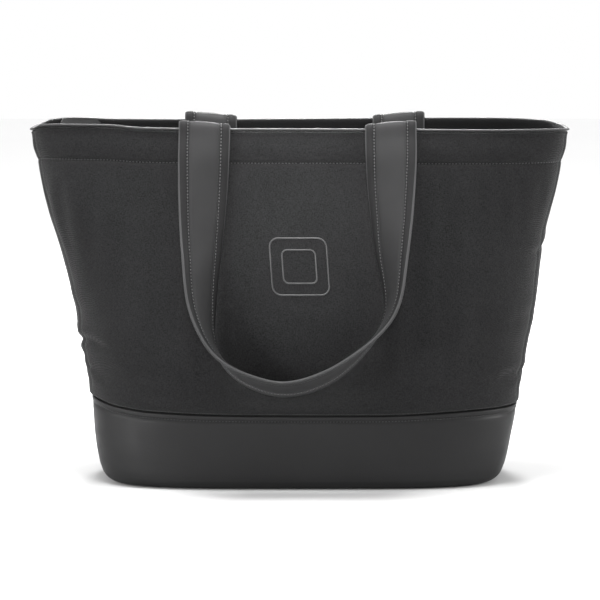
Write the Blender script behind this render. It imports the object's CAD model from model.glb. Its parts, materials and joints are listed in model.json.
import json
import math

import bpy
import numpy as np
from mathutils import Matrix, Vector, noise


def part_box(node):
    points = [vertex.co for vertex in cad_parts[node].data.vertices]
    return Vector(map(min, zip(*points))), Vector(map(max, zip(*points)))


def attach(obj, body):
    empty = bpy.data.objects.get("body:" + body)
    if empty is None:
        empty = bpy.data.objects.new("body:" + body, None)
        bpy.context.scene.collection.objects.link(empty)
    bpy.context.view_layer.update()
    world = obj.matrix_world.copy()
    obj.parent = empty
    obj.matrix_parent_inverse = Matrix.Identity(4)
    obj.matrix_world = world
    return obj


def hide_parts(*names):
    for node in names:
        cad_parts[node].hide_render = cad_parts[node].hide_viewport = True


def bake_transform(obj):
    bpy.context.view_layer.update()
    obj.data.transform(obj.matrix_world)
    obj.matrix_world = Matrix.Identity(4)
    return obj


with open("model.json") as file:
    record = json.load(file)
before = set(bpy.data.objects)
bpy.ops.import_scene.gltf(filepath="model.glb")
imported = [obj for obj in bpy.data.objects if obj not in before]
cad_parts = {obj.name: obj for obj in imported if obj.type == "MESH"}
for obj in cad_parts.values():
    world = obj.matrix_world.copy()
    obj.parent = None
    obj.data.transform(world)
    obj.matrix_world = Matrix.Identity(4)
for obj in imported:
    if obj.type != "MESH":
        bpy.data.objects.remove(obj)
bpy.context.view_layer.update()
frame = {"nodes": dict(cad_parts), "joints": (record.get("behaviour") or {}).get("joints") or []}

# Driving dimensions in metres, the same as the CAD model's
BAG_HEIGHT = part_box("rim_binding")[1].z
SEAM_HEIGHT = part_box("front_base_band")[1].z
STRAP_WIDTH = 0.044
STRAP_EDGE = 0.0032
STRAP_GAP = 0.0026
STRAP_INSIDE_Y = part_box("front_left_strap_end")[1].y - STRAP_EDGE / 2
FLAP_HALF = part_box("front_zip_flap")[1].x
HINGES = {joint["child"]: Vector(joint["pos_m"]) for joint in frame["joints"] if "pos_m" in joint}

# Height, half width, half depth and squareness of the plan's superellipse
BAND_WALL = np.array((
    (0.000, 0.1725, 0.0822, 3.9),
    (0.006, 0.1750, 0.0832, 3.8),
    (0.014, 0.1785, 0.0838, 3.7),
    (0.028, 0.1820, 0.0841, 3.6),
    (0.045, 0.1848, 0.0845, 3.4),
    (0.066, 0.1876, 0.0850, 3.2),
    (0.070, 0.1880, 0.0851, 3.2),
))
BODY_WALL = np.array((
    (0.060, 0.1876, 0.0850, 3.2),
    (0.076, 0.1898, 0.0880, 3.1),
    (0.130, 0.1988, 0.0885, 3.1),
    (0.200, 0.2102, 0.0855, 3.4),
    (0.260, 0.2250, 0.0815, 4.0),
    (0.313, 0.2346, 0.0778, 4.6),
))
EVEN_STATION = BODY_WALL[3]  # the plan whose perimeter the turns round the bag share out evenly
PERIMETER = 1.06

# How this bag stands: sideways lean by height, lift of the rim and set-back of the front by width
LEAN = np.array((
    (0.000, 0.0018), (0.030, 0.0023), (0.066, 0.0040), (0.120, 0.0042), (0.145, 0.0050),
    (0.165, 0.0040), (0.200, 0.0016), (0.230, -0.0002), (0.320, -0.0008),
))
FRONT_LIFT = np.array((
    (-0.245, -0.0036), (-0.234, -0.0026), (-0.221, 0.0022), (-0.205, 0.0032),
    (-0.165, 0.0032), (-0.135, 0.0012), (-0.060, 0.0004), (0.080, 0.0),
    (0.170, -0.0008), (0.222, -0.0008), (0.234, -0.0020), (0.245, -0.0028),
))
BACK_LIFT = np.array((
    (-0.245, -0.0036), (-0.234, -0.0026), (-0.221, 0.0016), (-0.205, 0.0024),
    (-0.160, 0.0006), (-0.080, 0.0002), (0.020, 0.0008), (0.110, 0.0016),
    (0.180, 0.0018), (0.218, 0.0008), (0.234, -0.0018), (0.245, -0.0028),
))
FRONT_SETBACK = np.array(((-0.245, 0.0100), (-0.180, 0.0090), (-0.115, 0.0), (0.130, 0.0), (0.245, -0.0010)))
SEAM_RISE = np.array((
    (-0.200, 0.0100), (-0.185, 0.0092), (-0.163, 0.0048), (-0.131, 0.0018), (-0.060, 0.0002),
    (0.060, 0.0), (0.146, 0.0024), (0.182, 0.0030), (0.200, 0.0030),
))
SWAY_BOTTOM = 0.225
HALF_SPAN = 0.24  # the lift tables hold within this distance of the middle
FRONT_TO_BACK = 0.12  # depth over which the front's lift passes into the back's
SEAM_RISE_END = 0.170
SEAM_RISE_FADE = 0.100

BODY_THICKNESS = 0.0016
BAND_THICKNESS = 0.0018
BOTTOM_THICKNESS = 0.0020
LINING_THICKNESS = 0.0006
THIN_CLOTH = 0.0008

HEM_HEIGHT = 0.2815
RIM_GROOVE = BAG_HEIGHT - 0.0025
AROUND = 440
TURNS = np.arange(AROUND) / AROUND
SEAM_LINE = np.linspace(0.0, 1.0, 1601)  # turns of a seam that runs right round


# ---- wall geometry


def smooth_table(table, at):
    """A table's columns at places between its rows, smooth and with no overshoot."""
    places = table[:, 0]
    gaps = np.diff(places)[:, None]
    steps = np.diff(table[:, 1:], axis=0) / gaps
    slopes = np.zeros_like(table[:, 1:])
    slopes[0] = steps[0]
    slopes[-1] = steps[-1]
    product = steps[:-1] * steps[1:]
    total = steps[:-1] + steps[1:]
    slopes[1:-1] = np.where(product > 0, 2 * product / np.where(total == 0, 1, total), 0)
    flat = np.clip(np.ravel(at), places[0], places[-1])
    row = np.clip(np.searchsorted(places, flat, side="right") - 1, 0, len(places) - 2)
    gap = gaps[row]
    t = (flat[:, None] - places[row][:, None]) / gap
    values = (
        table[row, 1:] * (1 + 2 * t) * (1 - t) ** 2
        + slopes[row] * gap * t * (1 - t) ** 2
        + table[row + 1, 1:] * t**2 * (3 - 2 * t)
        + slopes[row + 1] * gap * t**2 * (t - 1)
    )
    return values.T.reshape(table.shape[1] - 1, *np.shape(at))


def ease(t):
    t = np.clip(t, 0.0, 1.0)
    return t * t * (3 - 2 * t)


def bump(x, middle, width):
    return np.exp(-(((x - middle) / width) ** 2))


def even_turns():
    """Shares of the perimeter and the superellipse angles that they stand for."""
    _, half_width, half_depth, squareness = EVEN_STATION
    angles = np.linspace(0.0, 2.0 * math.pi, 20001)
    c, s = np.cos(angles), np.sin(angles)
    x = half_width * np.sign(c) * np.abs(c) ** (2 / squareness)
    y = half_depth * np.sign(s) * np.abs(s) ** (2 / squareness)
    lengths = np.concatenate(([0.0], np.cumsum(np.hypot(np.diff(x), np.diff(y)))))
    return lengths / lengths[-1], angles


SHARES, ANGLES = even_turns()


def stand(x, y, z):
    """Moves wall points the way this bag leans and its rim rises and falls."""
    across = np.clip(x, -HALF_SPAN, HALF_SPAN)
    front = ease(0.5 - y / FRONT_TO_BACK)
    height = ease((z - SWAY_BOTTOM) / (BAG_HEIGHT - SWAY_BOTTOM))
    lift = smooth_table(FRONT_LIFT, across)[0] * front + smooth_table(BACK_LIFT, across)[0] * (1 - front)
    setback = smooth_table(FRONT_SETBACK, across)[0] * front
    fade = ease(z / SEAM_HEIGHT) * ease((SEAM_RISE_END - z) / SEAM_RISE_FADE)
    rise = smooth_table(SEAM_RISE, across)[0] * fade
    return np.stack((x + smooth_table(LEAN, z)[0], y + setback * height, z + lift * height + rise), -1)


def wall(turn, z, out=0.0, table=BODY_WALL):
    """Points of the wall: turn is the share of the way round from +X, out the way off the wall."""
    turn, z, out = np.broadcast_arrays(np.asarray(turn, float), np.asarray(z, float), np.asarray(out, float))
    half_width, half_depth, squareness = smooth_table(table, z)
    angle = np.interp(turn % 1.0, SHARES, ANGLES)
    c, s = np.cos(angle), np.sin(angle)
    x = (half_width + out) * np.sign(c) * np.abs(c) ** (2 / squareness)
    y = (half_depth + out) * np.sign(s) * np.abs(s) ** (2 / squareness)
    return stand(x, y, z)


def wall_y(x, z):
    """Half depth of the undisturbed wall at a place across it."""
    half_width, half_depth, squareness = smooth_table(BODY_WALL, z)
    return half_depth * (1 - np.abs(x / half_width) ** squareness) ** (1 / squareness)


def turn_at(x, z, side=-1.0):
    """Share of the way round where the front or back wall has this x."""
    half_width, _, squareness = smooth_table(BODY_WALL, z)
    c = np.sign(x) * np.abs(x / half_width) ** (squareness / 2)
    angle = np.arccos(c)
    return np.interp(angle if side > 0 else 2 * math.pi - angle, ANGLES, SHARES)


def turns_apart(turn, middle):
    return np.abs((turn - middle + 0.5) % 1.0 - 0.5)


def seam_grooves(turn, seams, width):
    """How deep in a groove a place is, from 0 to 1, near any of the upright seams."""
    return sum(bump(turns_apart(turn, seam) * PERIMETER, 0.0, width) for seam in seams)


def field(points, size, seed):
    """Smooth noise from -1 to 1 over points, with lumps of about the size in metres."""
    shift = Vector((seed * 7.31, seed * 3.17, seed * 5.53))
    flat = np.asarray(points).reshape(-1, 3) / np.asarray(size)
    values = [noise.noise(Vector(p) + shift) for p in flat]
    return np.array(values).reshape(np.shape(points)[:-1])


# ---- mesh helpers


def new_mesh(name, vertices, faces, material, smooth=True):
    mesh = bpy.data.meshes.new(name)
    mesh.from_pydata(np.asarray(vertices, float).reshape(-1, 3).tolist(), [], faces)
    mesh.validate()
    if smooth:
        mesh.shade_smooth()
    mesh.materials.append(material)
    piece = bpy.data.objects.new(name, mesh)
    bpy.context.scene.collection.objects.link(piece)
    return piece


def grid_faces(rows, columns, closed_rows=False, closed_columns=False, offset=0, flip=False):
    faces = []
    for r in range(rows if closed_rows else rows - 1):
        below = offset + r * columns
        above = offset + (r + 1) % rows * columns
        for c in range(columns if closed_columns else columns - 1):
            d = (c + 1) % columns
            face = (below + c, below + d, above + d, above + c)
            faces.append(face[::-1] if flip else face)
    return faces


def thicken(piece, thickness, offset=-1.0):
    solid = piece.modifiers.new("thickness", "SOLIDIFY")
    solid.thickness = thickness
    solid.offset = offset
    solid.use_even_offset = False
    return piece


def tube_between(name, loops, material, closed=False):
    """Closed skin through loops of points: a ring when closed, else with both ends capped."""
    loops = np.asarray(loops)
    count, size = loops.shape[:2]
    faces = grid_faces(count, size, closed_rows=closed, closed_columns=True)
    if not closed:
        faces.append(tuple(range(size))[::-1])
        faces.append(tuple((count - 1) * size + i for i in range(size)))
    return new_mesh(name, loops, faces, material)


def skin(name, rings, material, thickness, flip=False, cap=False):
    """A sheet through rings of points all the way round the bag, its last ring closed when capped."""
    faces = grid_faces(len(rings), AROUND, closed_columns=True, flip=flip)
    if cap:
        last = tuple((len(rings) - 1) * AROUND + i for i in range(AROUND))
        faces.append(last[::-1] if flip else last)
    return thicken(new_mesh(name, np.array(rings), faces, material), thickness)


def unit(vectors):
    return vectors / np.maximum(np.linalg.norm(vectors, axis=-1, keepdims=True), 1e-12)


def repeated(rings, sides, count, flip=False):
    """Faces of one capped tube of rings, repeated for a number of copies that follow each other."""
    one = grid_faces(rings, sides, closed_columns=True)
    one.append(tuple(range(sides))[::-1])
    one.append(tuple((rings - 1) * sides + i for i in range(sides)))
    if flip:
        one = [face[::-1] for face in one]
    size = rings * sides
    return [tuple(i + n * size for i in face) for n in range(count) for face in one]


def seat(piece, slot, body, *nodes):
    """Names the CAD nodes a piece stands for, its material slot and the body it rides on."""
    if nodes:
        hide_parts(*nodes)
    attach(piece, body)


# Place along a stitch, thickness and rise of its rings, as shares of its length and radius
STITCH_HALF = ((-0.5, 0.25, -0.55), (-0.42, 0.75, -0.15), (-0.2, 1.0, 0.3))
STITCH_RINGS = (*STITCH_HALF, *((-place, thick, rise) for place, thick, rise in STITCH_HALF[::-1]))


def stitches(name, centres, along, out, material, length=0.0021, radius=0.00034, sides=6):
    """One mesh of short rounded threads, laid along their seam and slightly sunk at both ends."""
    along, out = unit(along), unit(out)
    across = np.cross(out, along)
    turns = np.arange(sides) * 2 * math.pi / sides
    vertices = []
    for place, thick, rise in STITCH_RINGS:
        for turn in turns:
            vertices.append(
                centres
                + along * (place * length)
                + across * (math.cos(turn) * thick * radius)
                + out * ((math.sin(turn) * thick + rise) * radius)
            )
    faces = repeated(len(STITCH_RINGS), sides, len(centres))
    return new_mesh(name, np.stack(vertices, 1), faces, material)


def spaced(line, pitch):
    """Places along a polyline every pitch, as positions in its index."""
    lengths = np.concatenate(([0.0], np.cumsum(np.linalg.norm(np.diff(line, axis=0), axis=1))))
    marks = np.arange(pitch / 2, lengths[-1], pitch)
    return np.interp(marks, lengths, np.arange(len(line)))


def along_line(values, places):
    """Values of an array between its rows."""
    low = np.floor(places).astype(int)
    high = np.minimum(low + 1, len(values) - 1)
    share = (places - low)[:, None]
    return values[low] * (1 - share) + values[high] * share


def stitch_line(name, surface, turns, heights, material, pitch=0.0029, **sizes):
    """Stitches on a surface(turn, height) along a line of turns and heights."""
    turns, heights = np.broadcast_arrays(turns, heights)
    line = surface(turns, heights)
    places = spaced(line, pitch)
    turn = np.interp(places, np.arange(len(turns)), turns)
    height = np.interp(places, np.arange(len(turns)), heights)
    step = 0.0004
    centre = surface(turn, height)
    sideways = surface(turn + step, height) - surface(turn - step, height)
    upwards = surface(turn, height + step) - surface(turn, height - step)
    along = np.gradient(centre, axis=0)
    return stitches(name, centre, along, np.cross(sideways, upwards), material, **sizes)


# ---- materials


class Shader:
    """A material's node tree with short calls for the nodes used here."""

    def __init__(self, name, roughness, **sockets):
        self.material = bpy.data.materials.new(name)
        self.material.use_nodes = True
        self.tree = self.material.node_tree
        self.bsdf = self.tree.nodes["Principled BSDF"]
        self.bsdf.inputs["Roughness"].default_value = roughness
        for socket, value in sockets.items():
            self.bsdf.inputs[socket.replace("_", " ")].default_value = value
        self.coordinates = self.tree.nodes.new("ShaderNodeTexCoord").outputs["Object"]

    def node(self, kind, **inputs):
        made = self.tree.nodes.new(kind)
        for socket, value in inputs.items():
            self.put(made.inputs[socket.replace("_", " ")], value)
        return made

    def put(self, socket, value):
        if isinstance(value, bpy.types.NodeSocket):
            self.tree.links.new(value, socket)
        else:
            socket.default_value = value

    def mapped(self, scale, rotation=(0.0, 0.0, 0.0)):
        made = self.node("ShaderNodeMapping", Vector=self.coordinates, Scale=scale, Rotation=rotation)
        return made.outputs[0]

    def noise(self, scale, detail=2.0, stretch=(1.0, 1.0, 1.0), roughness=0.5):
        vector = self.mapped(stretch)
        made = self.node("ShaderNodeTexNoise", Vector=vector, Scale=scale, Detail=detail, Roughness=roughness)
        return made.outputs["Fac"]

    def wave(self, scale, rotation=(0.0, 0.0, 0.0), distortion=0.0):
        vector = self.mapped((1.0, 1.0, 1.0), rotation)
        made = self.node("ShaderNodeTexWave", Vector=vector, Scale=scale, Distortion=distortion)
        made.bands_direction = "DIAGONAL"
        return made.outputs["Fac"]

    def voronoi(self, scale):
        return self.node("ShaderNodeTexVoronoi", Vector=self.coordinates, Scale=scale).outputs["Distance"]

    def math(self, operation, a, b=0.5):
        made = self.tree.nodes.new("ShaderNodeMath")
        made.operation = operation
        self.put(made.inputs[0], a)
        self.put(made.inputs[1], b)
        return made.outputs[0]

    def ramp(self, value, *stops):
        made = self.node("ShaderNodeValToRGB", Fac=value)
        elements = made.color_ramp.elements
        while len(elements) < len(stops):
            elements.new(0.5)
        for element, (place, colour) in zip(elements, stops):
            element.position = place
            element.color = (*colour, 1.0) if hasattr(colour, "__len__") else (colour, colour, colour, 1.0)
        return made.outputs["Color"]

    def mix(self, share, a, b, blend="MIX"):
        made = self.tree.nodes.new("ShaderNodeMix")
        made.data_type = "RGBA"
        made.blend_type = blend
        self.put(made.inputs[0], share)
        self.put(made.inputs[6], a)
        self.put(made.inputs[7], b)
        return made.outputs[2]

    def bump(self, height, strength, distance, before=None):
        made = self.node("ShaderNodeBump", Height=height, Strength=strength, Distance=distance)
        if before is not None:
            self.put(made.inputs["Normal"], before)
        return made.outputs["Normal"]

    def finish(self, colour, normal=None, roughness=None):
        self.put(self.bsdf.inputs["Base Color"], colour)
        if normal is not None:
            self.put(self.bsdf.inputs["Normal"], normal)
        if roughness is not None:
            self.put(self.bsdf.inputs["Roughness"], roughness)
        return self.material


def grey(value, tint=(1.0, 1.0, 1.02)):
    return tuple(value * t for t in tint)


def woven_cloth(name, dark, light, thread=520.0, fleck=0.5, bump=0.5, sheen=0.05):
    """Heathered plain weave: crossing threads of slightly different greys."""
    cloth = Shader(name, 0.92, Sheen_Weight=sheen, Sheen_Roughness=0.4, Specular_IOR_Level=0.08)
    warp = cloth.noise(1.0, 3.0, stretch=(2100.0, 2100.0, 480.0))
    weft = cloth.noise(1.0, 3.0, stretch=(520.0, 520.0, 2200.0))
    threads = cloth.math("ADD", cloth.math("MULTIPLY", warp, 0.5), cloth.math("MULTIPLY", weft, 0.5))
    base = cloth.ramp(threads, (0.36, grey(dark)), (0.5, grey((dark + light) / 2)), (0.64, grey(light)))
    cloud = cloth.noise(26.0, 3.0)
    shade = cloth.ramp(cloud, (0.3, 1.0 - 0.14), (0.7, 1.0 + 0.10))
    colour = cloth.mix(fleck, base, shade, "MULTIPLY")
    one = cloth.wave(thread, (0.0, 0.0, 0.0), 1.2)
    other = cloth.wave(thread, (0.0, math.pi / 2, 0.0), 1.2)
    weave = cloth.math("MULTIPLY", one, other)
    height = cloth.math("ADD", weave, cloth.math("MULTIPLY", threads, 1.4))
    soft = cloth.bump(cloth.noise(90.0, 3.0), 0.25, 0.0012)
    return cloth.finish(colour, cloth.bump(height, bump, 0.00045, soft))


def leatherette(name, tone, roughness, grain=900.0, depth=0.00012, specular=0.16):
    """Coated cloth: small pebbled grain, slightly uneven gloss and faint rubbing."""
    hide = Shader(name, roughness, Specular_IOR_Level=specular)
    pebbles = hide.voronoi(grain)
    fine = hide.noise(grain * 1.7, 3.0)
    height = hide.math("ADD", hide.math("MULTIPLY", pebbles, 0.8), hide.math("MULTIPLY", fine, 0.5))
    cloud = hide.noise(18.0, 4.0)
    colour = hide.ramp(cloud, (0.25, grey(tone * 0.90)), (0.75, grey(tone * 1.10)))
    speck = hide.ramp(fine, (0.3, 0.92), (0.7, 1.08))
    colour = hide.mix(0.6, colour, speck, "MULTIPLY")
    gloss = hide.ramp(hide.noise(60.0, 3.0), (0.3, roughness - 0.05), (0.7, roughness + 0.07))
    return hide.finish(colour, hide.bump(height, 0.5, depth), gloss)


def spun_thread(name, tone):
    thread = Shader(name, 0.6, Sheen_Weight=0.2)
    twist = thread.wave(1500.0, (0.0, 0.6, 0.3), 0.5)
    colour = thread.ramp(twist, (0.2, grey(tone * 0.75)), (0.8, grey(tone * 1.2)))
    return thread.finish(colour, thread.bump(twist, 0.4, 0.0001))


def ribbed_tape(name, tone, pitch=700.0, roughness=0.8):
    tape = Shader(name, roughness, Sheen_Weight=0.15)
    ribs = tape.wave(pitch, (0.0, 0.0, 0.0), 0.4)
    cross = tape.wave(pitch, (0.0, math.pi / 2, 0.0), 0.4)
    height = tape.math("ADD", ribs, tape.math("MULTIPLY", cross, 0.6))
    colour = tape.ramp(tape.noise(700.0, 3.0), (0.3, grey(tone * 0.8)), (0.7, grey(tone * 1.2)))
    return tape.finish(colour, tape.bump(height, 0.4, 0.00025))


def soft_print(name, tone):
    print_ink = Shader(name, 0.5, Specular_IOR_Level=0.4)
    fine = print_ink.noise(1400.0, 2.0)
    colour = print_ink.ramp(fine, (0.3, grey(tone * 0.88)), (0.7, grey(tone * 1.08)))
    return print_ink.finish(colour, print_ink.bump(fine, 0.3, 0.00008))


def worn_metal(name, tone, roughness):
    metal = Shader(name, roughness, Metallic=1.0)
    scratches = metal.noise(1.0, 4.0, stretch=(260.0, 2600.0, 2600.0))
    colour = metal.ramp(metal.noise(500.0, 3.0), (0.3, grey(tone * 0.85)), (0.7, grey(tone * 1.1)))
    gloss = metal.ramp(scratches, (0.35, roughness - 0.08), (0.65, roughness + 0.14))
    return metal.finish(colour, metal.bump(scratches, 0.15, 0.00005), gloss)


def moulded_board(name, tone):
    board = Shader(name, 0.65)
    grain = board.noise(700.0, 3.0)
    colour = board.ramp(board.noise(40.0, 2.0), (0.3, grey(tone * 0.9)), (0.7, grey(tone * 1.1)))
    return board.finish(colour, board.bump(grain, 0.3, 0.0001))


BODY_CLOTH = woven_cloth("body_fabric_look", 0.0045, 0.0175, sheen=0.13)
FACING_CLOTH = woven_cloth("facing_fabric_look", 0.003, 0.006, sheen=0.0)
LINING_CLOTH = woven_cloth("lining_cloth_look", 0.006, 0.014, thread=700.0, bump=0.3, sheen=0.0)
BASE_HIDE = leatherette("base_leatherette_look", 0.0105, 0.48, specular=0.15)
STRAP_HIDE = leatherette("strap_leatherette_look", 0.0155, 0.58, grain=1300.0, depth=0.00007, specular=0.10)
STRAP_HEM_HIDE = leatherette("strap_hem_look", 0.0095, 0.62, grain=1300.0, depth=0.00007, specular=0.08)
STRAP_LINING_HIDE = leatherette("strap_lining_look", 0.030, 0.55, grain=1300.0, depth=0.00007, specular=0.12)
BINDING_HIDE = leatherette("binding_look", 0.026, 0.50, grain=1500.0, depth=0.00006)
STRAP_THREAD = spun_thread("strap_thread_look", 0.036)
BODY_THREAD = spun_thread("body_thread_look", 0.004)
BASE_THREAD = spun_thread("base_thread_look", 0.018)
ELASTIC = ribbed_tape("elastic_look", 0.030)
ZIP_TAPE = ribbed_tape("zip_tape_look", 0.022)
ZIP_TAIL = ribbed_tape("zip_tail_look", 0.007)
ZIP_TEETH = soft_print("zip_teeth_look", 0.020)
ZIP_METAL = worn_metal("zip_metal_look", 0.30, 0.32)
EMBLEM_INK = soft_print("emblem_print_look", 0.021)
BOARD = moulded_board("stiffener_board_look", 0.10)


# ---- body


# Creases in the ends of the bag: turn, height, reach round, reach up and depth
CREASES = (
    (0.515, 0.1180, 0.050, 0.0045, 0.0026),
    (0.505, 0.1000, 0.030, 0.0040, 0.0014),
    (0.560, 0.0950, 0.030, 0.0045, 0.0010),
    (0.455, 0.1750, 0.030, 0.0060, 0.0009),
    (0.545, 0.1550, 0.035, 0.0060, 0.0007),
    (0.980, 0.2060, 0.060, 0.0040, 0.0014),
    (0.990, 0.0960, 0.050, 0.0035, 0.0012),
    (0.945, 0.1450, 0.035, 0.0060, 0.0008),
    (0.940, 0.0930, 0.030, 0.0040, 0.0009),
    (0.040, 0.1650, 0.030, 0.0070, 0.0010),
)


CREASE_SLANT = 0.004
CREASE_WAVES = 60.0

# Lumps of the padding: depth, size and seed
CLOTH_LUMPS = ((0.0009, 0.095, 1), (0.0006, (0.045, 0.045, 0.060), 2), (0.00025, 0.016, 3))
CLOTH_SINK = 0.0004
MOST_RELIEF = 0.0018
RIM_FADE = 0.012

# Hem: groove of its stitches, deeper on front and back, puckers about it and the fold above it
HEM_GROOVE = 0.0014
HEM_DEPTH = 0.0006
HEM_FACE_DEPTH = 0.0013
PUCKER_REACH = 0.0065
PUCKER_RISE = 0.00035
PUCKER_SINK = 0.0006
HEM_FOLD_ABOVE = 0.0125
HEM_FOLD_REACH = 0.0080
HEM_FOLD_RISE = 0.0010

GUSSET_TURNS = (0.0370, 0.4630, 0.5370, 0.9630)
GUSSET_DEPTH = 0.0011
GUSSET_WIDTH = 0.0016
GUSSET_FOOT = 0.070
GUSSET_STITCH_OFFSET = 0.0042

# Fullness of the cloth where it is gathered into the base seam
FULL_HEIGHT = 0.069
FULL_REACH = 0.0070
FULL_RISE = 0.0016

# Rows of the body's mesh as height and move off the wall: tucked into the base, wall, rim groove
BODY_ROWS = (
    (0.0610, -0.0050), (0.0640, -0.0050), (0.0655, -0.0044),
    (0.0662, -0.0032), (0.0664, -0.0016), (0.0668, -0.0005),
    *((z, 0.0) for z in np.linspace(0.0676, 0.0740, 7)),
    *((z, 0.0) for z in np.arange(0.0760, 0.2760, 0.0022)),
    *((z, 0.0) for z in np.arange(0.2770, 0.2870, 0.0006)),
    *((z, 0.0) for z in np.arange(0.2880, RIM_GROOVE - 0.0014, 0.0016)),
    (RIM_GROOVE - 0.0014, 0.0001), (RIM_GROOVE - 0.0009, -0.0006),
    (RIM_GROOVE - 0.0007, -0.0020), (RIM_GROOVE + 0.0004, -0.0030),
)

# Trial mesh of the settling cloth, and how much of its result is used
SAG_HEIGHTS = np.linspace(0.074, 0.274, 41)
SAG_COLUMNS = 208
SAG_HELD_ROWS = 2
SAG_FRAMES = 20
SAG_CAP = 0.0022
SAG_SHARE = 0.40
SAG_REACH = 12


def settle_cloth():
    """Outward moves of the body cloth once it has settled between its seams, by height and turn."""
    moves = np.zeros((len(SAG_HEIGHTS), SAG_COLUMNS + 1))
    turns = np.arange(SAG_COLUMNS) / SAG_COLUMNS
    rest = np.array([wall(turns, z) for z in SAG_HEIGHTS])
    faces = grid_faces(len(SAG_HEIGHTS), SAG_COLUMNS, closed_columns=True)
    trial = new_mesh("settling_cloth", rest, faces, BODY_CLOTH)
    seams = trial.vertex_groups.new(name="seams")
    points = len(SAG_HEIGHTS) * SAG_COLUMNS
    held = SAG_HELD_ROWS * SAG_COLUMNS
    seams.add([*range(held), *range(points - held, points)], 1.0, "REPLACE")
    cloth = trial.modifiers.new("cloth", "CLOTH")
    cloth.settings.quality = 8
    cloth.settings.mass = 0.25
    cloth.settings.bending_stiffness = 1.5
    cloth.settings.shrink_min = -0.010
    cloth.settings.vertex_group_mass = "seams"
    cloth.settings.use_pressure = True
    cloth.settings.uniform_pressure_force = 0.6
    cloth.point_cache.frame_start = 1
    cloth.point_cache.frame_end = SAG_FRAMES
    scene = bpy.context.scene
    for number in range(1, SAG_FRAMES + 1):
        scene.frame_set(number)
    settled = trial.evaluated_get(bpy.context.evaluated_depsgraph_get()).to_mesh()
    places = np.array([vertex.co[:] for vertex in settled.vertices]).reshape(rest.shape)
    scene.frame_set(1)
    mesh = trial.data
    bpy.data.objects.remove(trial)
    bpy.data.meshes.remove(mesh)
    outward = unit(np.cross(np.roll(rest, -1, 1) - np.roll(rest, 1, 1), np.gradient(rest, axis=0)))
    settling = np.sum((places - rest) * outward, -1)
    window = range(-SAG_REACH, SAG_REACH + 1)
    broad = sum(np.roll(settling, shift, 1) for shift in window) / len(window)
    moves[:, :-1] = np.clip(SAG_SHARE * (settling - broad), -SAG_CAP, SAG_CAP)
    moves[:, -1] = moves[:, 0]
    return moves


def sag_at(turn, z):
    """The settled cloth's outward move between the trial's points."""
    row = np.interp(z, SAG_HEIGHTS, np.arange(len(SAG_HEIGHTS)))
    column = (turn % 1.0) * SAG_COLUMNS
    r = np.minimum(row.astype(int), len(SAG_HEIGHTS) - 2)
    c = np.minimum(column.astype(int), SAG_COLUMNS - 1)
    up, round_it = ease(row - r), ease(column - c)
    low = SAG[r, c] * (1 - round_it) + SAG[r, c + 1] * round_it
    high = SAG[r + 1, c] * (1 - round_it) + SAG[r + 1, c + 1] * round_it
    return low * (1 - up) + high * up


def crease_relief(turn, z):
    relief = 0.0
    for middle, height, reach, rise, depth in CREASES:
        line = height + CREASE_SLANT * np.sin(CREASE_WAVES * (turn - middle))
        swell = 0.7 * bump(z, line + 1.9 * rise, 1.5 * rise)
        relief = relief + depth * bump(turns_apart(turn, middle), 0.0, reach) * (swell - bump(z, line, rise))
    return relief


def hem_relief(turn, z, places):
    facing = ease((np.abs(np.sin(2 * math.pi * turn)) - 0.25) / 0.35)
    pucker = 0.5 + 0.5 * field(places, (0.007, 0.007, 0.05), 4)
    groove = (HEM_DEPTH + HEM_FACE_DEPTH * facing) * bump(z, HEM_HEIGHT, HEM_GROOVE)
    puckers = bump(z, HEM_HEIGHT, PUCKER_REACH) * (PUCKER_RISE * pucker - PUCKER_SINK)
    return puckers - groove + HEM_FOLD_RISE * bump(z, HEM_HEIGHT + HEM_FOLD_ABOVE, HEM_FOLD_REACH)


def body_relief(turn, z):
    """How far the padded cloth stands off its wall: sag, lumps, creases, hem and gusset seams."""
    turn, z = np.broadcast_arrays(np.asarray(turn, float), np.asarray(z, float))
    places = wall(turn, z)
    lumps = sum(depth * field(places, size, seed) for depth, size, seed in CLOTH_LUMPS)
    relief = sag_at(turn, z) + lumps - CLOTH_SINK + crease_relief(turn, z) + hem_relief(turn, z, places)
    gussets = seam_grooves(turn, GUSSET_TURNS, GUSSET_WIDTH) * ease((z - GUSSET_FOOT) / 0.01)
    relief = np.minimum(relief - GUSSET_DEPTH * gussets, MOST_RELIEF)
    fullness = 0.4 + 0.6 * ease(np.abs(np.sin(2 * math.pi * turn)) * 1.6)
    below_rim = ease((BAG_HEIGHT - 0.001 - z) / RIM_FADE + 0.25)
    return relief * below_rim + fullness * FULL_RISE * bump(z, FULL_HEIGHT, FULL_REACH)


def body_surface(turn, z):
    return wall(turn, z, body_relief(turn, z))


def make_body():
    grid = [wall(TURNS, z, out + body_relief(TURNS, z)) for z, out in BODY_ROWS]
    body = skin("body_cloth", grid, BODY_CLOTH, BODY_THICKNESS)
    seat(body, "body_fabric", "bag", "front_panel", "back_panel", "left_side_panel", "right_side_panel")
    hem = stitch_line("hem_stitches", body_surface, SEAM_LINE, HEM_HEIGHT, BODY_THREAD)
    seat(hem, "body_fabric", "bag")
    heights = np.linspace(GUSSET_FOOT, RIM_GROOVE - 0.004, 400)
    for number, seam in enumerate(GUSSET_TURNS):
        side = -1.0 if number % 2 == 0 else 1.0
        turn = seam + side * GUSSET_STITCH_OFFSET / PERIMETER
        row = stitch_line(f"gusset_stitches_{number + 1}", body_surface, turn, heights, BODY_THREAD)
        seat(row, "body_fabric", "bag")


# ---- rim


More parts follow.
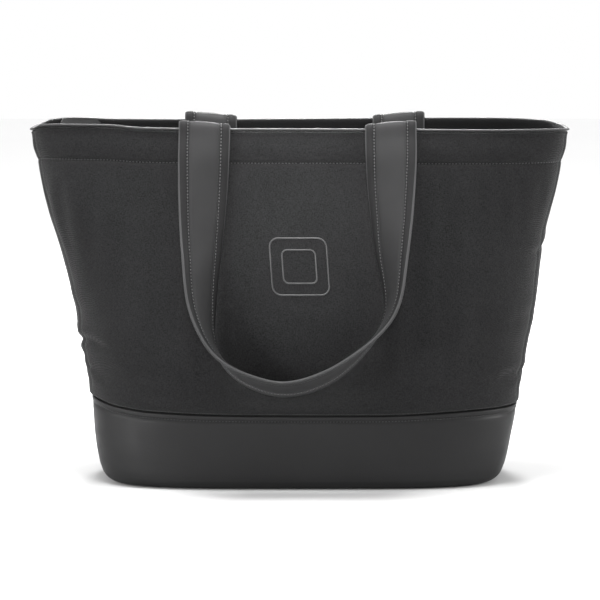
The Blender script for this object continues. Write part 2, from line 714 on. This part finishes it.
def rim_profile():
    """Cross-section of the rolled rim edge as (out, rise from the groove), anticlockwise."""
    outside, inside = 0.0008, -0.0028
    middle = (outside + inside) / 2
    half = (outside - inside) / 2
    rise = BAG_HEIGHT - RIM_GROOVE
    points = [(outside - 0.0030, 0.0006), (outside - 0.0012, 0.0003), (outside - 0.0002, 0.0010)]
    for degrees in np.linspace(0.0, 180.0, 17):
        turn = math.radians(degrees)
        points.append((
            middle + half * math.copysign(abs(math.cos(turn)) ** 0.75, math.cos(turn)),
            rise * 0.45 + rise * 0.55 * math.sin(turn) ** 0.8,
        ))
    points += [(inside + 0.0002, 0.0010), (inside + 0.0010, 0.0003), (inside + 0.0022, 0.0006)]
    return points


def rim_groove(turn, z):
    return wall(turn, z, -0.0012)


def make_rim():
    wobble = 0.00025 * field(wall(TURNS, BAG_HEIGHT), 0.02, 9)
    loops = np.stack([wall(TURNS, RIM_GROOVE + rise, out + wobble) for out, rise in rim_profile()], 1)
    rim = tube_between("rim_edge", loops[::-1], BINDING_HIDE, closed=True)
    seat(rim, "binding_tape", "bag", "rim_binding")
    row = stitch_line("rim_stitches", rim_groove, SEAM_LINE, RIM_GROOVE, BODY_THREAD)
    seat(row, "body_fabric", "bag")


# ---- inner layers


def inner_wall(turn, z, out):
    """Wall points for the lining: the base's plan below the seam and the body's above it."""
    low = wall(turn, z, out, BAND_WALL)
    high = wall(turn, z, out)
    share = ease((np.asarray(z, float) - SEAM_HEIGHT + 0.012) / 0.012)[..., None]
    return low * (1 - share) + high * share


def inner_out(turn, z, depth, lumps):
    """Place of an inner layer: never closer to the wall than its depth."""
    folds = 0.5 + 0.5 * field(wall(turn, z, -depth), (0.05, 0.05, 0.09), 12)
    return -depth - lumps * folds


FACING_DEPTH = 0.0050
FACING_LUMPS = 0.0006
FACING_STITCH = 0.2640
FACING_STITCH_DEPTH = 0.0052

# Rows of the facing as height and depth in from the wall: folded foot, wall, turn under the rim
FACING_ROWS = (
    (0.2606, 0.0052), (0.2598, 0.0060), (0.2604, 0.0068),
    *((z, FACING_DEPTH) for z in np.arange(0.2620, RIM_GROOVE, 0.0030)),
    (BAG_HEIGHT - 0.0030, 0.0048), (BAG_HEIGHT - 0.0014, 0.0044),
    (BAG_HEIGHT - 0.0008, 0.0036), (BAG_HEIGHT - 0.0010, 0.0024),
)


def facing_surface(turn, z):
    return wall(turn, z, inner_out(turn, z, FACING_STITCH_DEPTH, FACING_LUMPS))


def make_facing():
    grid = [wall(TURNS, z, inner_out(TURNS, z, depth, FACING_LUMPS)) for z, depth in FACING_ROWS]
    facing = skin("facing_cloth", grid, FACING_CLOTH, THIN_CLOTH, flip=True)
    seat(facing, "body_fabric", "bag", "top_facing")
    row = stitch_line("facing_stitches", facing_surface, SEAM_LINE[::-1], FACING_STITCH, BODY_THREAD)
    seat(row, "body_fabric", "bag")


LINING_DEPTH = 0.0048
LINING_FLOOR = 0.0072
LINING_LOOSE = 0.0022
LINING_CORNER = ((0.0150, 0.0060), (0.0110, 0.0075), (0.0085, 0.0105), (LINING_FLOOR, 0.0150))


def lining_folds(turn, z):
    return np.clip(0.5 + 1.1 * field(wall(turn, z), (0.028, 0.028, 0.075), 14), 0.0, 1.0)


def lining_surface(turn, z):
    """The lining hangs loose between the floor and the facing."""
    loose = LINING_LOOSE * ease((z - 0.02) / 0.05) * ease((0.240 - z) / 0.04)
    return inner_wall(turn, z, inner_out(turn, z, LINING_DEPTH, 0.0002) - loose * lining_folds(turn, z))


def make_lining():
    walls = [lining_surface(TURNS, z) for z in np.arange(0.2612, 0.0190, -0.0040)]
    walls += [wall(TURNS, z, -depth, BAND_WALL) for z, depth in LINING_CORNER]
    edge = walls[-1]
    centre = edge.mean(0)
    for share in (0.9, 0.75, 0.55, 0.35, 0.15, 0.02):
        ring = centre + (edge - centre) * share
        ring[:, 2] = LINING_FLOOR + 0.0004 * (1 + field(ring, 0.03, 15))
        walls.append(ring)
    lining = skin("lining_cloth", walls, LINING_CLOTH, LINING_THICKNESS, cap=True)
    seat(lining, "lining_cloth", "bag", "lining")


# ---- base


BASE_ROUND = 0.0085
BAND_TOP = SEAM_HEIGHT - 0.0018
BAND_STITCH = SEAM_HEIGHT - 0.0062
BAND_GROOVE = 0.0007
END_SEAMS = (0.0, 0.5)
END_SEAM_WIDTH = 0.0009

# Rings of the bottom as share of its outline and height
BOTTOM_RINGS = (
    (1.0, 0.0012), (0.995, 0.0004),
    *((share, 0.0) for share in (0.985, 0.93, 0.8, 0.6, 0.4, 0.2, 0.02)),
)


def band_relief(turn, z):
    places = wall(turn, z, 0.0, BAND_WALL)
    relief = 0.0005 * field(places, 0.07, 21) + 0.00025 * field(places, 0.022, 22)
    relief = relief * ease((z - 0.004) / 0.02) - 0.0012 * bump(z, BAND_STITCH, BAND_GROOVE)
    return relief - 0.0009 * seam_grooves(turn, END_SEAMS, END_SEAM_WIDTH) * ease((z - 0.001) / 0.004)


def band_surface(turn, z):
    return wall(turn, z, band_relief(turn, z), BAND_WALL)


def make_base():
    rows = []
    for degrees in (8.0, 16.0, 26.0, 36.0, 46.0, 56.0, 66.0, 76.0, 84.0):
        turn = math.radians(degrees)
        rows.append((0.0004 + BASE_ROUND * (1 - math.cos(turn)), -BASE_ROUND * (1 - math.sin(turn))))
    rows += [(z, 0.0) for z in np.arange(0.0140, 0.0585, 0.0030)]
    rows += [(z, 0.0) for z in np.arange(0.0590, BAND_TOP - 0.0004, 0.0005)]
    rows += [(BAND_TOP, -0.0003), (BAND_TOP + 0.0004, -0.0010), (BAND_TOP + 0.0003, -0.0024)]
    grid = [wall(TURNS, z, out + band_relief(TURNS, z), BAND_WALL) for z, out in rows]
    band = skin("base_band", grid, BASE_HIDE, BAND_THICKNESS)
    seat(band, "base_leatherette", "bag", "front_base_band", "back_base_band")
    row = stitch_line(
        "base_stitches", band_surface, SEAM_LINE, BAND_STITCH, BASE_THREAD,
        pitch=0.0028, length=0.0017, radius=0.00040,
    )
    seat(row, "base_leatherette", "bag")


def make_bottom():
    edge = wall(TURNS, 0.0, -BASE_ROUND * 0.90, BAND_WALL)
    centre = edge.mean(0)
    grid = []
    for share, z in BOTTOM_RINGS:
        ring = centre + (edge - centre) * share
        ring[:, 2] = z
        grid.append(ring)
    bottom = skin("bottom_leatherette", grid, BASE_HIDE, BOTTOM_THICKNESS, flip=True, cap=True)
    seat(bottom, "base_leatherette", "bag", "bottom_panel")


# ---- handles


# Strap centre line: x, z and twist in degrees from flat on the wall, left rim to right rim
HANDLE_KEYS = (
    (-0.0810, 0.3060, 0.0),
    (-0.0820, 0.250, 24.0),
    (-0.0825, 0.207, 42.0),
    (-0.0820, 0.164, 60.0),
    (-0.0720, 0.127, 88.0),
    (-0.0490, 0.104, 108.0),
    (-0.0130, 0.093, 114.0),
    (0.0240, 0.104, 112.0),
    (0.0540, 0.127, 101.0),
    (0.0720, 0.150, 88.0),
    (0.0780, 0.174, 72.0),
    (0.0770, 0.207, 53.0),
    (0.0770, 0.250, 32.0),
    (0.0770, 0.3060, 0.0),
)
FOLD_FOOT = 0.3060
FOLD_TOP = 0.3170
STRAP_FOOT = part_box("front_left_strap_end")[0].z
STRAP_STEP = 0.0026
HEM_WIDTH = 0.0092
STITCH_PLACE = 0.0078
FOLD_TILT = 0.09
SHOULDER = 0.0034
SHOULDER_HEIGHT = 0.290
STRAP_DOME = 0.0013
STRAP_SOFTNESS = 0.0006
STITCH_HEIGHT = 0.00088
EDGE_REACH = 0.0013  # the lighter edge, from the strap's side inwards
LOOP_Y = -0.079  # in front of this the strap hangs free, behind it the strap is folded over the rim
FOLD_Y = -0.0715  # in front of this the fold tilts with the rim
BACK_SPREAD = 1.071
BACK_SHIFT = 0.0022


def smooth_run(keys, steps):
    """Catmull-Rom points through a row of keys."""
    keys = np.array(keys, float)
    padded = np.vstack((2 * keys[0] - keys[1], keys, 2 * keys[-1] - keys[-2]))
    run = []
    for i in range(1, len(padded) - 2):
        before, here, there, after = padded[i - 1 : i + 3]
        for t in np.arange(steps) / steps:
            square = 2 * before - 5 * here + 4 * there - after
            cube = 3 * here - before - 3 * there + after
            run.append((2 * here + (there - before) * t + square * t**2 + cube * t**3) / 2)
    run.append(keys[-1])
    return np.array(run)


def strap_run():
    """Centres, twists and fold weights of the whole front strap, from inside left to inside right."""
    half = STRAP_WIDTH / 2
    loop = smooth_run(HANDLE_KEYS, 24)
    turn = np.radians(loop[:, 2])
    stand_off = STRAP_GAP + half * np.sin(turn) + STRAP_EDGE / 2 * np.abs(np.cos(turn))
    stand_off = stand_off + SHOULDER * bump(loop[:, 1], SHOULDER_HEIGHT, 0.016)
    loop_points = np.stack((loop[:, 0], -wall_y(loop[:, 0], loop[:, 1]) - stand_off, loop[:, 1]), -1)
    ends = []
    for x, outer_y in (loop_points[0, :2], loop_points[-1, :2]):
        middle = (STRAP_INSIDE_Y + outer_y) / 2
        reach = (STRAP_INSIDE_Y - outer_y) / 2
        arc = [
            (x, middle + reach * math.cos(a), FOLD_FOOT + (FOLD_TOP - FOLD_FOOT) * math.sin(a))
            for a in np.linspace(0.0, math.pi, 24)[:-1]
        ]
        leg = [(x, STRAP_INSIDE_Y, z) for z in np.linspace(STRAP_FOOT, FOLD_FOOT, 24)[:-1]]
        ends.append(np.array(leg + arc))
    points = np.vstack((ends[0], loop_points, ends[1][::-1]))
    twists = np.concatenate((np.zeros(len(ends[0])), turn, np.zeros(len(ends[1]))))
    lengths = np.concatenate(([0.0], np.cumsum(np.linalg.norm(np.diff(points, axis=0), axis=1))))
    marks = np.linspace(0.0, lengths[-1], round(lengths[-1] / STRAP_STEP) + 1)
    centres = np.stack([np.interp(marks, lengths, points[:, k]) for k in range(3)], -1)
    twists = np.interp(marks, lengths, twists)
    for _ in range(3):
        centres[1:-1] = (centres[:-2] + 2 * centres[1:-1] + centres[2:]) / 4
        twists[1:-1] = (twists[:-2] + 2 * twists[1:-1] + twists[2:]) / 4
    return centres, twists


def strap_frames():
    """Centres with the strap's along, across (towards the outer edge) and face directions."""
    centres, twists = strap_run()
    along = unit(np.gradient(centres, axis=0))
    side = np.where(np.arange(len(centres)) < len(centres) // 2, -1.0, 1.0)
    straight = np.stack((side, side * 0, side * 0), -1)
    in_plane = unit(np.stack((along[:, 2], np.zeros(len(along)), -along[:, 0]), -1))
    free = centres[:, 1] < LOOP_Y
    hanging = (centres[:, 2] < FOLD_FOOT - 0.004) & free
    outwards = np.where(hanging[:, None], in_plane, straight)
    share = (ease((FOLD_FOOT - centres[:, 2]) / 0.02) * free)[:, None]
    outwards = unit(straight * (1 - share) + outwards * share)
    forwards = np.array((0.0, -1.0, 0.0))
    across = outwards * np.cos(twists)[:, None] + forwards * np.sin(twists)[:, None]
    tilt = FOLD_TILT * ease((centres[:, 2] - 0.285) / 0.02) * (centres[:, 1] < FOLD_Y)
    across[:, 2] += tilt
    across = unit(across - along * np.sum(across * along, 1, keepdims=True))
    return centres, along, across, np.cross(across, along)


def strap_profile():
    """Half of the strap's cross-section: places across and the face's height there."""
    half = STRAP_WIDTH / 2
    hem = half - HEM_WIDTH
    stitch = half - STITCH_PLACE
    places = np.array((
        0.0, hem * 0.35, hem * 0.7, hem - 0.0012, hem - 0.0006, hem - 0.0001, hem + 0.0003, hem + 0.0006,
        stitch - 0.0005, stitch, stitch + 0.0006, stitch + 0.0014, half - 0.0040, half - 0.0024,
        half - 0.0012, half - 0.0005, half - 0.0001,
    ))
    heights = np.array((
        1.15, 1.13, 1.08, 1.00, 0.75, 0.45, 0.80, 1.20,
        1.05, 0.50, 1.05, 1.62, 1.78, 1.66,
        1.36, 0.90, 0.30,
    )) / 1000
    return places, heights


def strap_section():
    """The strap's whole cross-section, face then lining: places across, heights and the face's count."""
    places, heights = strap_profile()
    dome = STRAP_DOME * (places / places[-1]) ** 2
    face_places = np.concatenate((-places[:0:-1], places))
    face = np.concatenate(((heights - dome)[:0:-1], heights - dome))
    lining = np.concatenate(((-heights - dome)[:0:-1], -heights - dome))
    both_places = np.concatenate((face_places, face_places[::-1]))
    return both_places, np.concatenate((face, lining[::-1])), len(face)


def colour_strap(strap, places, face_count):
    """The hems are darker than the middle of the face, and the edges and the lining are lighter."""
    strap.data.materials.append(STRAP_HEM_HIDE)
    strap.data.materials.append(STRAP_LINING_HIDE)
    half = STRAP_WIDTH / 2
    for polygon in strap.data.polygons:
        columns = [vertex % len(places) for vertex in polygon.vertices]
        reach = min(abs(places[column]) for column in columns)
        if max(columns) >= face_count or reach > half - EDGE_REACH:
            polygon.material_index = 2
        elif reach > half - HEM_WIDTH - 0.0001:
            polygon.material_index = 1


def make_handle(name, ends, turned):
    centres, along, across, face = strap_frames()
    spread = np.array((-BACK_SPREAD, -1.0, 1.0)) if turned else np.array((1.0, 1.0, 1.0))
    shift = np.array((BACK_SHIFT, 0.0, 0.0)) if turned else np.zeros(3)
    places, heights, face_count = strap_section()
    soft = STRAP_SOFTNESS * field(centres, 0.03, 31)
    loops = (
        (centres + face * soft[:, None])[:, None]
        + across[:, None] * places[None, :, None]
        + face[:, None] * heights[None, :, None]
    ) * spread + shift
    strap = tube_between(name + "_strap", loops, STRAP_HIDE)
    colour_strap(strap, places, face_count)
    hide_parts(name, *ends)
    pieces = [strap]
    stitch = STRAP_WIDTH / 2 - STITCH_PLACE
    dome = STRAP_DOME * (stitch / (STRAP_WIDTH / 2)) ** 2
    for edge, place in (("inner", -stitch), ("outer", stitch)):
        for cover, sign in (("face", 1.0), ("lining", -1.0)):
            line = centres + face * (soft[:, None] + sign * STITCH_HEIGHT - dome) + across * place
            marks = spaced(line, 0.0028)
            middle = along_line(line, marks) * spread + shift
            direction = along_line(along, marks) * spread
            out = along_line(face, marks) * spread * sign
            row = f"{name}_{edge}_{cover}_stitches"
            pieces.append(stitches(row, middle, direction, out, STRAP_THREAD, length=0.0016, radius=0.00042))
    for piece in pieces:
        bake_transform(piece)


# ---- emblem


EMBLEM_X = -0.0025
LINE_SECTION = ((-1.0, -0.6), (-0.9, 0.35), (-0.5, 0.85), (0.0, 1.0), (0.5, 0.85), (0.9, 0.35), (1.0, -0.6))


def rounded_square(half, radius, steps):
    """Points round a rounded square, anticlockwise, evenly enough for a printed line."""
    arcs = []
    for corner in range(4):
        diagonal = (corner + 0.5) * math.pi / 2
        middle = (half - radius) * np.sign((math.cos(diagonal), math.sin(diagonal)))
        angles = (corner + np.linspace(0.0, 1.0, steps)) * math.pi / 2
        arcs.append(middle + radius * np.stack((np.cos(angles), np.sin(angles)), -1))
    points = []
    for arc, following in zip(arcs, arcs[1:] + arcs[:1]):
        points.extend(arc)
        points.extend(arc[-1] + (following[0] - arc[-1]) * share for share in np.arange(1, 12) / 12)
    return np.array(points)


def make_emblem_line(name, line_width=0.0015, rise=0.0006):
    low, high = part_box(name)
    half = (high.x - low.x) / 2
    middle_z = (low.z + high.z) / 2
    centre_line = rounded_square(half - line_width / 2, half * 0.30, 9)
    tangent = unit(np.roll(centre_line, -1, 0) - np.roll(centre_line, 1, 0))
    outward = np.stack((tangent[:, 1], -tangent[:, 0]), -1)
    loops = []
    for side, height in LINE_SECTION:
        flat = centre_line + outward * (side * line_width / 2)
        x = flat[:, 0] + EMBLEM_X
        z = flat[:, 1] + middle_z
        turn = turn_at(x, z)
        loops.append(wall(turn, z, body_relief(turn, z) + height * rise))
    line = tube_between(name.replace("emblem", "badge"), np.stack(loops, 1), EMBLEM_INK, closed=True)
    seat(line, "emblem_print", "bag", name)


# ---- zip closure


FLAP_REACH = 0.0520
TAPE_REACH = 0.0628
BEAD_REACH = 0.0660
TOOTH_PITCH = 0.0030
TOOTH_MARGIN = 0.004
TOOTH_MIDDLE = 0.00075


def flap_point(side, x, reach, rise):
    hinge = HINGES["front_zip_flap" if side < 0 else "back_zip_flap"]
    return np.stack(np.broadcast_arrays(x, hinge.y - side * rise, hinge.z - reach), -1)


def make_flap(name, side):
    half = FLAP_HALF
    xs = np.linspace(-half, half, 150)
    reaches = [*np.linspace(0.0005, FLAP_REACH - 0.002, 16), FLAP_REACH - 0.0010, FLAP_REACH]
    x, reach = np.meshgrid(xs, reaches)
    flat = np.stack((x, np.full_like(x, side), reach), -1)
    slack = ease(reach / 0.012) * ease((FLAP_REACH - reach) / 0.012)
    rise = 0.0008 + slack * 0.0022 * (0.5 + 0.5 * field(flat, (0.040, 1.0, 0.035), 41 + side))
    rise = rise + 0.0004 * bump(reach, FLAP_REACH - 0.0025, 0.0012)
    cloth = new_mesh(name + "_cloth", flap_point(side, x, reach, rise), grid_faces(*x.shape), LINING_CLOTH)
    thicken(cloth, THIN_CLOTH, 0.0)
    seat(cloth, "lining_cloth", name, name)
    tape_node = name.replace("flap", "tape")
    make_tape(tape_node, name, side, xs)
    make_teeth(tape_node, name, side)


def make_tape(tape_node, name, side, xs):
    profile = (
        (FLAP_REACH - 0.0030, 0.0016), (FLAP_REACH - 0.0030, 0.0020), (TAPE_REACH - 0.0020, 0.0012),
        (BEAD_REACH - 0.0012, 0.0013), (BEAD_REACH - 0.0012, 0.0003), (TAPE_REACH - 0.0020, 0.0003),
    )
    loops = np.stack([flap_point(side, xs, reach, rise) for reach, rise in profile], 1)
    tape = tube_between(tape_node + "_cloth", loops if side < 0 else loops[:, ::-1], ZIP_TAPE)
    seat(tape, "zip_tape", name, tape_node)


def make_teeth(tape_node, name, side):
    shift = 0.0 if side < 0 else TOOTH_PITCH / 2
    tooth_x = np.arange(-FLAP_HALF + TOOTH_MARGIN + shift, FLAP_HALF - TOOTH_MARGIN, TOOTH_PITCH)
    sections = ((-0.0011, 0.55), (-0.0008, 1.0), (0.0008, 1.0), (0.0011, 0.55))
    outline = (
        (TAPE_REACH + 0.0002, 0.0007), (TAPE_REACH + 0.0002, 0.0018), (BEAD_REACH - 0.0006, 0.0019),
        (BEAD_REACH, 0.0014), (BEAD_REACH, 0.0001), (BEAD_REACH - 0.0006, -0.0003),
        (TAPE_REACH + 0.0002, -0.0003),
    )
    middle_reach = (TAPE_REACH + BEAD_REACH) / 2
    vertices = []
    for offset, size in sections:
        for reach, rise in outline:
            away = middle_reach + (reach - middle_reach) * size
            height = TOOTH_MIDDLE + (rise - TOOTH_MIDDLE) * size
            vertices.append(flap_point(side, tooth_x + offset, away, height))
    faces = repeated(len(sections), len(outline), len(tooth_x), flip=side > 0)
    teeth = new_mesh(tape_node + "_teeth", np.stack(vertices, 1), faces, ZIP_TEETH, smooth=False)
    seat(teeth, "zip_tape", name)


TAB_POINTS = 60
TAB_DEPTH = 0.0078


def make_zip_tab():
    low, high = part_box("zip_end_tab")
    turns = np.linspace(0.398, 0.442, TAB_POINTS)
    rim_places = wall(turns, BAG_HEIGHT, -TAB_DEPTH)
    rounded = 0.0035 * (bump(turns, turns[0], 0.0025) + bump(turns, turns[-1], 0.0025))
    grid = []
    rows = [*np.linspace(low.z, BAG_HEIGHT - 0.004, 9), *np.linspace(BAG_HEIGHT - 0.003, high.z - 0.0034, 7)]
    for z in rows:
        sway = 0.0006 * field(rim_places + (0, 0, z), 0.02, 51)
        ring = wall(turns, min(z, BAG_HEIGHT), -TAB_DEPTH + sway)
        ring[:, 2] += max(z - BAG_HEIGHT, 0.0)
        ring[:, 2] -= rounded * ease((z - BAG_HEIGHT + 0.010) / 0.010)
        grid.append(ring)
    faces = grid_faces(len(grid), TAB_POINTS)
    tab = thicken(new_mesh("zip_tail", np.array(grid), faces, ZIP_TAIL), 0.0012, 0.0)
    seat(tab, "zip_tape", "bag", "zip_end_tab")


# ---- pockets


def end_wall_x(y, z, depth):
    """Half width of the inner wall at a depth, without the lean."""
    half_width, half_depth, squareness = smooth_table(BODY_WALL, np.maximum(z, 0.060))
    low_width, low_depth, low_square = smooth_table(BAND_WALL, np.minimum(z, 0.066))
    high = z > 0.066
    half_width = np.where(high, half_width, low_width) - depth
    half_depth = np.where(high, half_depth, low_depth) - depth
    squareness = np.where(high, squareness, low_square)
    return half_width * (1 - np.abs(y / half_depth) ** squareness) ** (1 / squareness)


POCKET_DEPTH = 0.0078
POCKET_GAP = 0.0004
POCKET_BULGE = 0.036
GATHER_WAVES = 34.0
RIB_WAVES = 150.0


def pocket_points(side, half, column, z, gathers, inwards=0.0):
    """The pocket bulges from the end wall, and its gathers fade towards its two upright edges."""
    y = column * half
    bulge = POCKET_BULGE * (1 - column**2) + gathers * (1 - column**4)
    x = side * (end_wall_x(y, z, POCKET_DEPTH) - POCKET_GAP - bulge - inwards) + smooth_table(LEAN, z)[0]
    return np.stack((x, y, z), -1)


def make_bottle_pocket(side_name, side):
    low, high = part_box(side_name + "_bottle_pocket")
    half = high.y
    columns = np.linspace(-1.0, 1.0, 121)
    rows = [*np.linspace(low.z, high.z - 0.004, 30), high.z - 0.002, high.z]
    column, z = np.meshgrid(columns, rows)
    share = (z - low.z) / (high.z - low.z)
    waves = np.sin(column * GATHER_WAVES + 1.3 * np.sin(column * 9.0)) * ease((share - 0.45) / 0.5)
    lumps = field(np.stack((column * 0.05, z, z * 0), -1), (0.012, 0.05, 1.0), 61 + side) * share
    points = pocket_points(side, half, column, z, 0.0011 * (waves + lumps))
    cloth = new_mesh(side_name + "_pocket_cloth", points, grid_faces(*z.shape, flip=side > 0), LINING_CLOTH)
    thicken(cloth, THIN_CLOTH, 0.0)
    seat(cloth, "lining_cloth", "bag", side_name + "_bottle_pocket")
    make_elastic(side_name, side, half, columns)


def make_elastic(side_name, side, half, columns):
    low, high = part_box(side_name + "_pocket_elastic")
    column, z = np.meshgrid(columns, np.linspace(low.z, high.z, 8))
    ribs = 0.0005 * np.sin(column * RIB_WAVES) + 0.0009 * np.sin(column * GATHER_WAVES)
    rounding = 0.0010 * (1 - ((z - z.mean()) / (high.z - low.z) * 2) ** 4)
    inner = pocket_points(side, half, column, z, ribs, rounding)
    outer = pocket_points(side, half, column, z, ribs, -rounding)
    loops = np.concatenate((inner, outer[::-1]), 0).transpose(1, 0, 2)
    elastic = tube_between(side_name + "_elastic_band", loops if side < 0 else loops[:, ::-1], ELASTIC)
    seat(elastic, "elastic", "bag", side_name + "_pocket_elastic")


def make_slip_pocket():
    low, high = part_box("slip_pocket")
    trim_low, trim_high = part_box("slip_pocket_binding")
    half = high.x
    columns = np.linspace(-1.0, 1.0, 91)

    def place(column, z, extra=0.0):
        share = (z - low.z) / (trim_high.z - low.z)
        loose = (1 - column**2) * np.minimum(1.0, 0.15 + 2.0 * share)
        x = column * half
        folds = 0.0009 * field(np.stack((x, z, z * 0), -1), (0.03, 0.05, 1.0), 71) * loose
        y = wall_y(x, z) - 0.0086 - 0.0095 * loose - folds - extra
        return np.stack((x + smooth_table(LEAN, z)[0], y, z), -1)

    column, z = np.meshgrid(columns, np.linspace(low.z, high.z, 30))
    cloth = new_mesh("slip_pocket_cloth", place(column, z), grid_faces(*z.shape, flip=True), LINING_CLOTH)
    thicken(cloth, THIN_CLOTH, 0.0)
    seat(cloth, "lining_cloth", "bag", "slip_pocket")
    column, z = np.meshgrid(columns, np.linspace(trim_low.z, trim_high.z, 7))
    rounding = 0.0010 * (1 - ((z - z.mean()) / (trim_high.z - trim_low.z) * 2) ** 4)
    front, back = place(column, z, rounding), place(column, z, -rounding)
    loops = np.concatenate((front, back[::-1]), 0).transpose(1, 0, 2)
    trim = tube_between("slip_pocket_edge", loops[:, ::-1], BINDING_HIDE)
    seat(trim, "binding_tape", "bag", "slip_pocket_binding")


# ---- carried-over CAD nodes


def dress(node, material):
    for slot in frame["nodes"][node].material_slots:
        slot.material = material


# ---- stage


FLOOR_REACH = 4.0  # distance over which the floor's tone rises from near to far
FLOOR_HALF = 6.0
FLOOR_GAP = 0.0002


def make_stage():
    white = Shader("studio_floor", 0.9, Specular_IOR_Level=0.1)
    away = white.node("ShaderNodeVectorMath", Vector=white.coordinates)
    away.operation = "LENGTH"
    cover = white.ramp(white.math("DIVIDE", away.outputs["Value"], FLOOR_REACH), (0.12, 0.46), (0.50, 0.95))
    tone = white.mix(0.5, cover, white.ramp(white.noise(1.5, 2.0), (0.3, 0.97), (0.7, 1.0)), "MULTIPLY")
    corners = [(x * FLOOR_HALF, y * FLOOR_HALF, 0.0) for x, y in ((-1, -1), (1, -1), (1, 1), (-1, 1))]
    floor = new_mesh("studio_floor", corners, [(0, 1, 2, 3)], white.finish(tone))
    floor.location.z = -FLOOR_GAP
    world = bpy.data.worlds.new("studio")
    world.use_nodes = True
    background = world.node_tree.nodes["Background"]
    background.inputs["Color"].default_value = (1.0, 1.0, 1.0, 1.0)
    background.inputs["Strength"].default_value = 1.0
    bpy.context.scene.world = world
    add_area("top_light", (-0.1, -0.15, 1.6), (0.0, 0.0, 0.2), 0.6, 56.0)
    add_area("back_light", (0.0, 1.3, 1.2), (0.0, 0.08, 0.30), 0.5, 42.0)
    add_area("left_light", (-1.5, -0.8, 0.85), (0.0, -0.05, 0.15), 0.5, 18.0)
    add_area("right_light", (1.6, -0.35, 0.60), (0.0, -0.05, 0.12), 0.5, 26.0)
    add_spot("key_light", (0.0, -1.6, 0.60), (0.0, -0.08, 0.262), 0.12, 10.2, 260.0)
    add_spot("base_light", (-1.0, -0.85, 0.20), (-0.19, -0.08, 0.035), 0.30, 16.0, 230.0)
    bpy.context.scene.view_settings.view_transform = "Standard"


def add_area(name, place, target, size, power):
    light = bpy.data.lights.new(name, "AREA")
    light.size = size
    light.energy = power
    aim_light(name, light, place, target)


def aim_light(name, light, place, target):
    lamp = bpy.data.objects.new(name, light)
    lamp.location = place
    lamp.rotation_euler = (Vector(target) - Vector(place)).to_track_quat("-Z", "Y").to_euler()
    bpy.context.scene.collection.objects.link(lamp)


def add_spot(name, place, target, size, degrees, power):
    light = bpy.data.lights.new(name, "SPOT")
    light.shadow_soft_size = size
    light.spot_size = math.radians(degrees)
    light.spot_blend = 1.0
    light.energy = power
    aim_light(name, light, place, target)


CAMERA_PLACE = (0.0, -2.47, 0.4452)
CAMERA_LENS = 168.9
CAMERA_PITCH = 0.1168  # radians down from level


def make_camera():
    camera = bpy.data.cameras.new("camera")
    camera.sensor_width = 36.0
    camera.lens = CAMERA_LENS
    holder = bpy.data.objects.new("camera", camera)
    holder.location = CAMERA_PLACE
    holder.rotation_euler = (math.pi / 2 - CAMERA_PITCH, 0.0, 0.0)
    bpy.context.scene.collection.objects.link(holder)
    bpy.context.scene.camera = holder


make_camera()
make_stage()
SAG = settle_cloth()
make_body()
make_rim()
make_facing()
make_lining()
make_base()
make_bottom()
make_handle("front_handle", ("front_left_strap_end", "front_right_strap_end"), False)
make_handle("back_handle", ("back_left_strap_end", "back_right_strap_end"), True)
make_emblem_line("emblem_outer_line")
make_emblem_line("emblem_inner_line")
make_flap("front_zip_flap", -1.0)
make_flap("back_zip_flap", 1.0)
make_zip_tab()
make_bottle_pocket("left", -1.0)
make_bottle_pocket("right", 1.0)
make_slip_pocket()
dress("zip_slider", ZIP_METAL)
dress("zip_pull", ZIP_METAL)
dress("base_board", BOARD)
